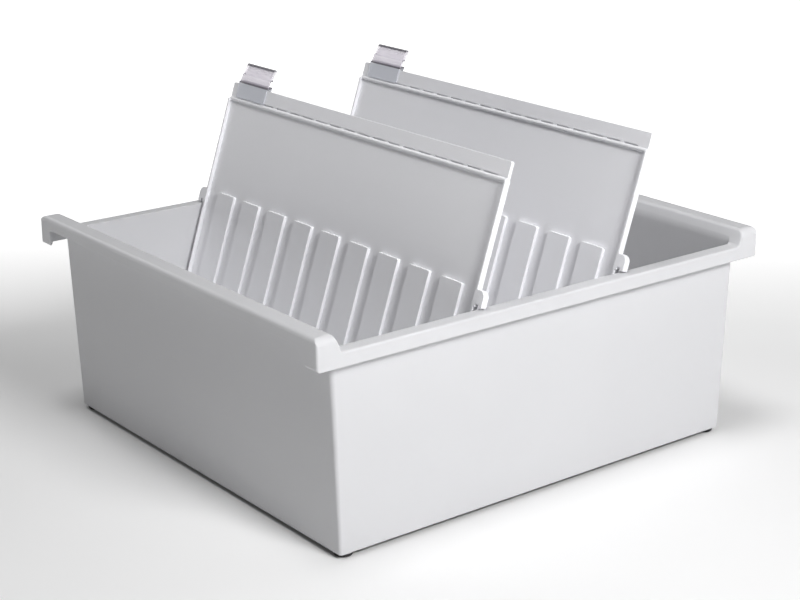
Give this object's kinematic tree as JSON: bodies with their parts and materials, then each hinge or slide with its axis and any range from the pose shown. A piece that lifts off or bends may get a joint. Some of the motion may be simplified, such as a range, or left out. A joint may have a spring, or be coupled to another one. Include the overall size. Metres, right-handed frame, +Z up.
{
  "type": "card index tray",
  "caption": "Open moulded tray for A4 landscape index cards, with raised grip rims, leaning support plates that slide along its side rims, and clear sliding tabs on the plates.",
  "frame": {"origin": "on the table, under the middle of the tray", "axes": "+X to the right seen from the front, +Y from front to back, +Z up"},
  "size_m": [0.33, 0.362, 0.2339],
  "materials": {
    "tray_plastic": "light grey, finely textured moulding",
    "plate_plastic": "light grey, satin moulding",
    "tab_plastic": "clear, tinted grey",
    "foot_rubber": "black"
  },
  "bodies": {
    "base": {"tray": "tray_plastic", "foot_front_left": "foot_rubber", "foot_front_right": "foot_rubber", "foot_rear_left": "foot_rubber", "foot_rear_right": "foot_rubber"},
    "front_support": {"front_plate": "plate_plastic"},
    "rear_support": {"rear_plate": "plate_plastic"},
    "front_marker": {"front_tab": "tab_plastic"},
    "rear_marker": {"rear_tab": "tab_plastic"}
  },
  "joints": [
    {"name": "front_plate_slide", "type": "slide", "parent": "base", "child": "front_support", "axis": [0, 1, 0], "range_m": [-0.05, 0.05]},
    {"name": "rear_plate_slide", "type": "slide", "parent": "base", "child": "rear_support", "axis": [0, 1, 0], "range_m": [-0.05, 0.09]},
    {"name": "front_tab_slide", "type": "slide", "parent": "front_support", "child": "front_marker", "axis": [1, 0, 0], "range_m": [-0.004, 0.258]},
    {"name": "rear_tab_slide", "type": "slide", "parent": "rear_support", "child": "rear_marker", "axis": [1, 0, 0], "range_m": [-0.004, 0.258]}
  ]
}
